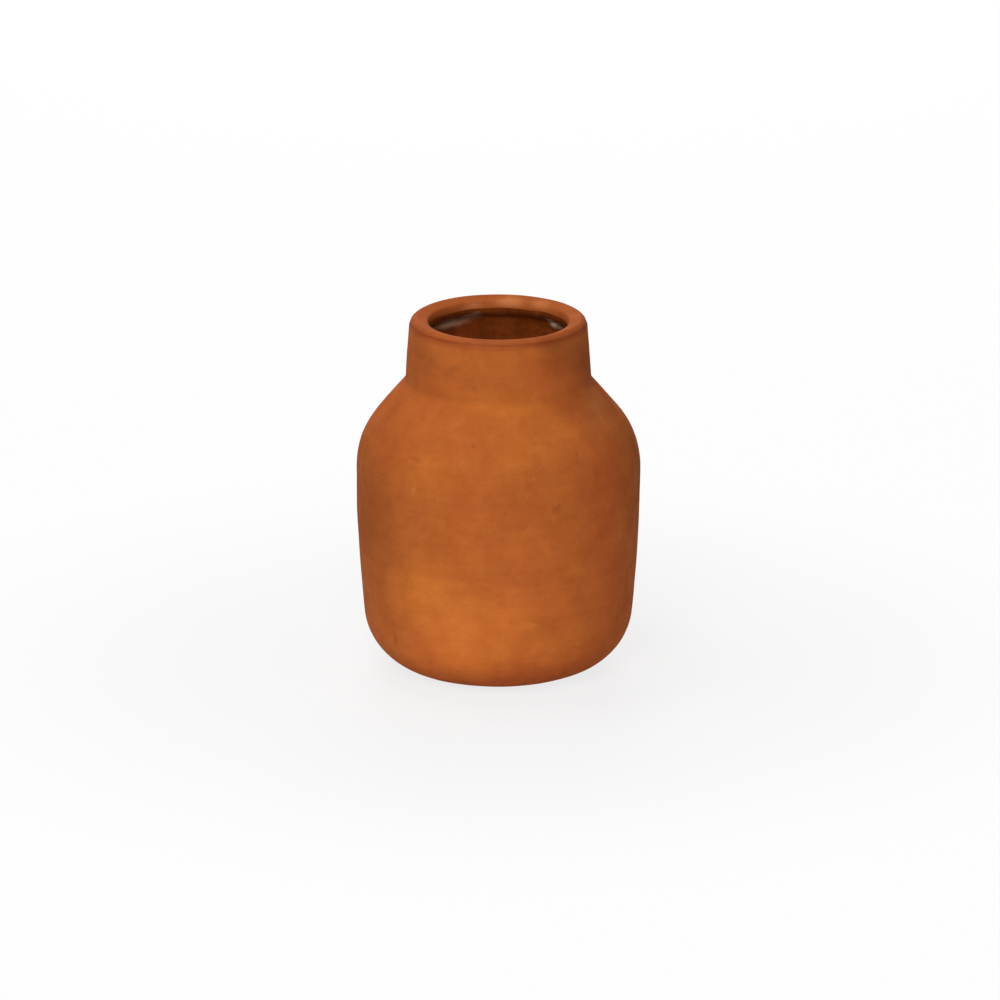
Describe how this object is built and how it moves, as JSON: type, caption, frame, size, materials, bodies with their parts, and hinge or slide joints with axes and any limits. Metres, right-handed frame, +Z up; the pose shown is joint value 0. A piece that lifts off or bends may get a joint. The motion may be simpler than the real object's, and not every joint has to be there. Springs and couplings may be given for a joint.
{
  "type": "terracotta vase",
  "caption": "Round-shouldered terracotta floor vase with a short collar neck, a thick rolled lip and a glazed inside, for holding stems or dried branches.",
  "frame": {"origin": "on the vase's axis, at the underside of the felt pads it stands on", "axes": "+Z up along the vase's turning axis; +X and +Y level, with the felt pads on the diagonals between them; the picture looks along +Y"},
  "size_m": [0.24, 0.24, 0.3071],
  "materials": {
    "terracotta": "unglazed, matte, mottled orange-brown",
    "glaze": "glossy dark brown",
    "felt": "matte brown felt"
  },
  "bodies": {
    "root": {"base_dish": "terracotta", "belly_wall": "terracotta", "shoulder_dome": "terracotta", "neck_collar": "terracotta", "lip_ring": "terracotta", "glaze_lining": "glaze", "felt_pad_1": "felt", "felt_pad_2": "felt", "felt_pad_3": "felt", "felt_pad_4": "felt"}
  },
  "joints": []
}
